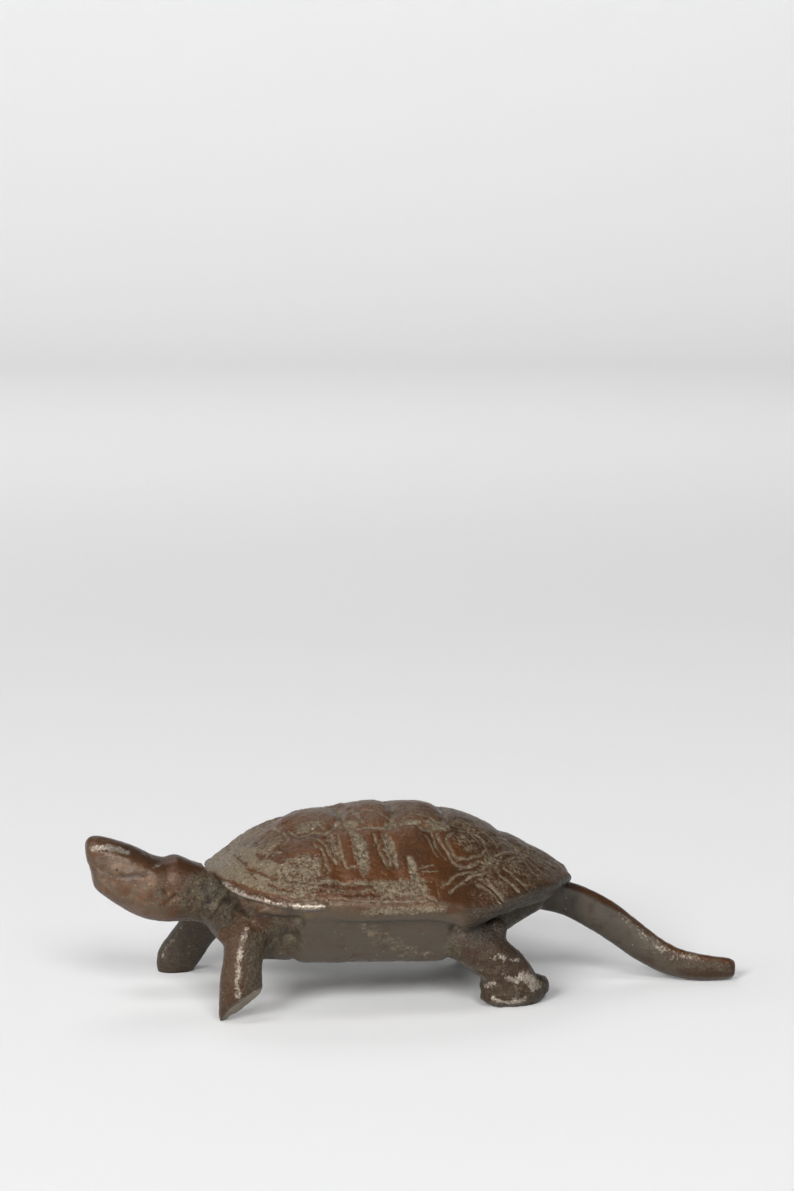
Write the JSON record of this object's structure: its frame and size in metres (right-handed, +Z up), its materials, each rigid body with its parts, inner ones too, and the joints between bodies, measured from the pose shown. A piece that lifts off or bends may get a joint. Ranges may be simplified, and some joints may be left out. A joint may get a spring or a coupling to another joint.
{
  "type": "cast bronze turtle figurine",
  "caption": "Small solid cast bronze turtle, walking with its head stretched out, with a plated domed shell, splayed legs and a long bent tail.",
  "frame": {"origin": "middle of the outside size, on the plane that the feet stand on", "axes": "+X from the head towards the tail, +Y towards the turtle's right side, +Z up"},
  "size_m": [0.1174, 0.0476, 0.0343],
  "materials": {
    "bronze": "satin brown patina"
  },
  "bodies": {
    "root": {"turtle": "bronze"}
  },
  "joints": []
}
